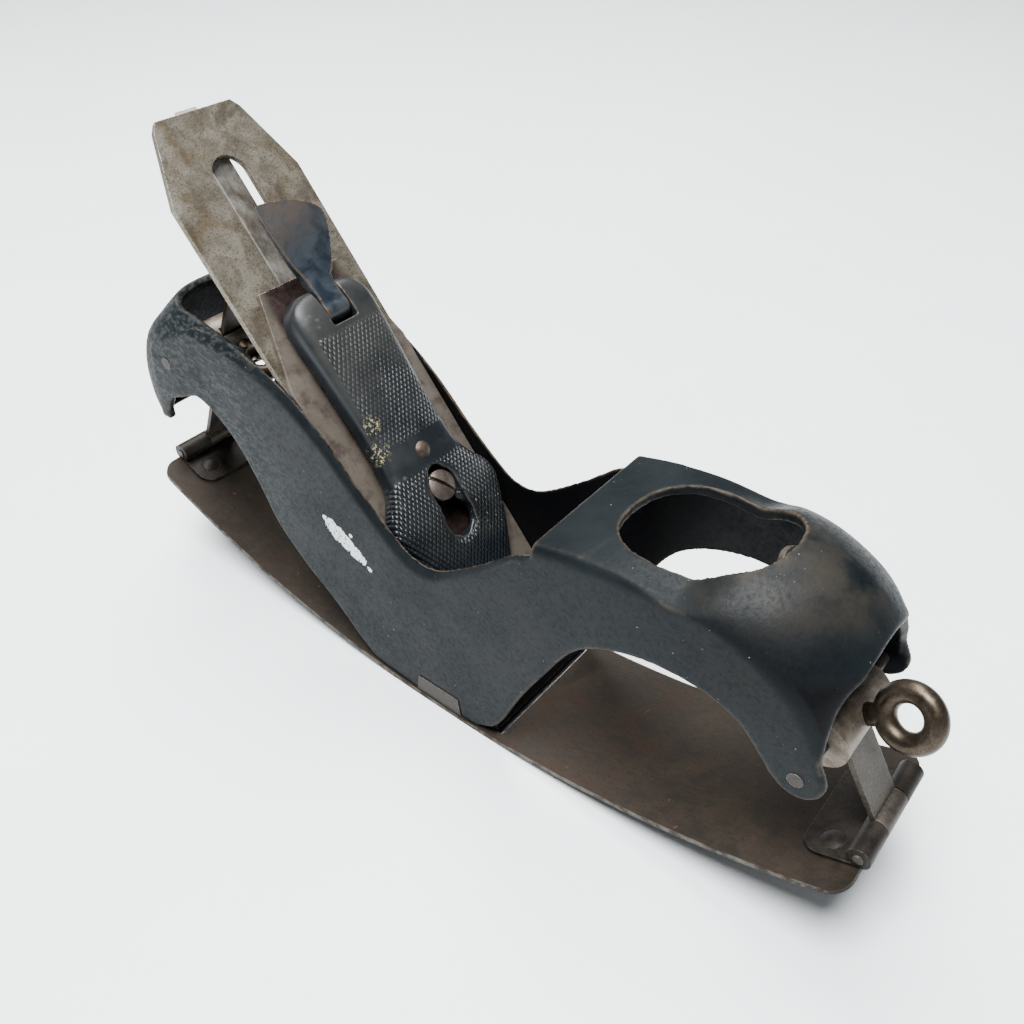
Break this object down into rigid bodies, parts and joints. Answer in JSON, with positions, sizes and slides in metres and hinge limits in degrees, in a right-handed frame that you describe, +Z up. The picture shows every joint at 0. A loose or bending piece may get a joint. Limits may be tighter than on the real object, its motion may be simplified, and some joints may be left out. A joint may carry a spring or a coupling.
{
  "type": "compass plane",
  "caption": "Iron compass plane with a flexible steel sole held to a convex curve by clamped straps at toe and heel, a lever cap and an adjustable cutter.",
  "frame": {"origin": "middle of the sole's lowest line, on its bottom face", "axes": "+X towards the toe, +Y to the far side in the picture, +Z up through the casting"},
  "size_m": [0.2631, 0.0508, 0.1524],
  "materials": {
    "japanning": "worn japanning over grey iron",
    "black_japan": "black japanning",
    "brown_steel": "dark brown patina",
    "grey_steel": "dull grey steel",
    "tan_steel": "speckled tan patina",
    "cap_iron_steel": "brown-purple patina",
    "cast_drum": "bare tan-grey iron"
  },
  "bodies": {
    "body": {"body_casting": "japanning", "frog": "black_japan", "frog_screws": "grey_steel", "sole_key": "grey_steel", "sole_key_rivets": "grey_steel", "sole_centre": "brown_steel", "front_pivot_pins": "grey_steel", "rear_pivot_pins": "grey_steel", "adjusting_lever_pin": "grey_steel"},
    "sole_front_1": {"sole_front_1": "brown_steel"},
    "sole_front_2": {"sole_front_2": "brown_steel"},
    "sole_front_3": {"sole_front_3": "brown_steel", "toe_hinge_plate": "brown_steel", "toe_hinge_pin": "grey_steel", "toe_hinge_rivets": "brown_steel"},
    "front_strap": {"front_strap": "brown_steel"},
    "front_drum": {"front_drum": "cast_drum"},
    "front_eye_screw": {"front_eye_screw": "tan_steel"},
    "sole_rear_1": {"sole_rear_1": "brown_steel"},
    "sole_rear_2": {"sole_rear_2": "brown_steel"},
    "sole_rear_3": {"sole_rear_3": "brown_steel", "heel_hinge_plate": "brown_steel", "heel_hinge_pin": "grey_steel", "heel_hinge_rivets": "brown_steel"},
    "rear_strap": {"rear_strap": "brown_steel"},
    "rear_drum": {"rear_drum": "cast_drum"},
    "rear_eye_screw": {"rear_eye_screw": "tan_steel"},
    "cutter": {"cutter": "tan_steel", "cap_iron": "cap_iron_steel", "cap_iron_screw": "grey_steel"},
    "adjusting_lever": {"adjusting_lever": "grey_steel"},
    "lever_cap": {"lever_cap": "black_japan", "lever_cap_spring": "grey_steel", "spring_rivet": "grey_steel", "cam_pin": "grey_steel"},
    "cam_lever": {"cam_lever": "black_japan"},
    "lever_cap_screw": {"lever_cap_screw": "brown_steel"}
  },
  "joints": [
    {"name": "toe_flex", "type": "hinge", "parent": "body", "child": "sole_front_1", "pos_m": [0.03585, 0, 0.00262], "axis": [0, 1, 0], "range_deg": [0, 8.57]},
    {"name": "toe_flex_2", "type": "hinge", "parent": "sole_front_1", "child": "sole_front_2", "pos_m": [0.07313, 0, 0.00942], "axis": [0, 1, 0], "range_deg": [0, 8.57]},
    {"name": "toe_flex_3", "type": "hinge", "parent": "sole_front_2", "child": "sole_front_3", "pos_m": [0.10928, 0, 0.02081], "axis": [0, 1, 0], "range_deg": [0, 8.57]},
    {"name": "front_strap_hinge", "type": "hinge", "parent": "sole_front_3", "child": "front_strap", "pos_m": [0.1245, 0, 0.0312], "axis": [0, 1, 0], "range_deg": [-17.2, 0]},
    {"name": "front_drum_turn", "type": "hinge", "parent": "body", "child": "front_drum", "pos_m": [0.1077, 0, 0.0565], "axis": [0, 1, 0], "range_deg": [0, 8.6]},
    {"name": "front_eye_turn", "type": "hinge", "parent": "front_drum", "child": "front_eye_screw", "pos_m": [0.1077, 0, 0.0565], "axis": [0.8542, 0, 0.5199], "range_deg": [-180, 180]},
    {"name": "heel_flex", "type": "hinge", "parent": "body", "child": "sole_rear_1", "pos_m": [-0.04228, 0, 0.00345], "axis": [0, -1, 0], "range_deg": [0, 7.65]},
    {"name": "heel_flex_2", "type": "hinge", "parent": "sole_rear_1", "child": "sole_rear_2", "pos_m": [-0.07845, 0, 0.01079], "axis": [0, -1, 0], "range_deg": [0, 7.65]},
    {"name": "heel_flex_3", "type": "hinge", "parent": "sole_rear_2", "child": "sole_rear_3", "pos_m": [-0.11346, 0, 0.02245], "axis": [0, -1, 0], "range_deg": [0, 7.65]},
    {"name": "rear_strap_hinge", "type": "hinge", "parent": "sole_rear_3", "child": "rear_strap", "pos_m": [-0.1295, 0, 0.03354], "axis": [0, -1, 0], "range_deg": [-20.2, 0]},
    {"name": "rear_drum_turn", "type": "hinge", "parent": "body", "child": "rear_drum", "pos_m": [-0.1105, 0, 0.081], "axis": [0, -1, 0], "range_deg": [0, 2.9]},
    {"name": "rear_eye_turn", "type": "hinge", "parent": "rear_drum", "child": "rear_eye_screw", "pos_m": [-0.1105, 0, 0.081], "axis": [0.9091, 0, -0.4166], "range_deg": [-180, 180]},
    {"name": "depth_lever", "type": "hinge", "parent": "body", "child": "adjusting_lever", "pos_m": [-0.047, 0, 0.06775], "axis": [0, -1, 0], "range_deg": [0, 8]},
    {"name": "cutter_feed", "type": "slide", "parent": "body", "child": "cutter", "axis": [-0.6428, 0, 0.766], "range_m": [0, 0.00146]},
    {"name": "lever_cap_slide", "type": "slide", "parent": "body", "child": "lever_cap", "axis": [-0.6428, 0, 0.766], "range_m": [0, 0.0105]},
    {"name": "cam_turn", "type": "hinge", "parent": "lever_cap", "child": "cam_lever", "pos_m": [-0.05822, 0, 0.10664], "axis": [0, 1, 0], "range_deg": [0, 95]},
    {"name": "lever_cap_screw_turn", "type": "hinge", "parent": "body", "child": "lever_cap_screw", "pos_m": [-0.02597, 0, 0.05669], "axis": [0.766, 0, 0.6428], "range_deg": [-180, 180]}
  ],
  "couplings": [
    {"joint": "toe_flex_2", "follows": "toe_flex", "ratio": 1},
    {"joint": "toe_flex_3", "follows": "toe_flex", "ratio": 1},
    {"joint": "front_strap_hinge", "follows": "toe_flex", "ratio": -2.001},
    {"joint": "front_drum_turn", "follows": "toe_flex", "ratio": 0.999},
    {"joint": "heel_flex_2", "follows": "heel_flex", "ratio": 1},
    {"joint": "heel_flex_3", "follows": "heel_flex", "ratio": 1},
    {"joint": "rear_strap_hinge", "follows": "heel_flex", "ratio": -2.63},
    {"joint": "rear_drum_turn", "follows": "heel_flex", "ratio": 0.37},
    {"joint": "cutter_feed", "follows": "depth_lever", "m_per_rad": 0.01}
  ]
}
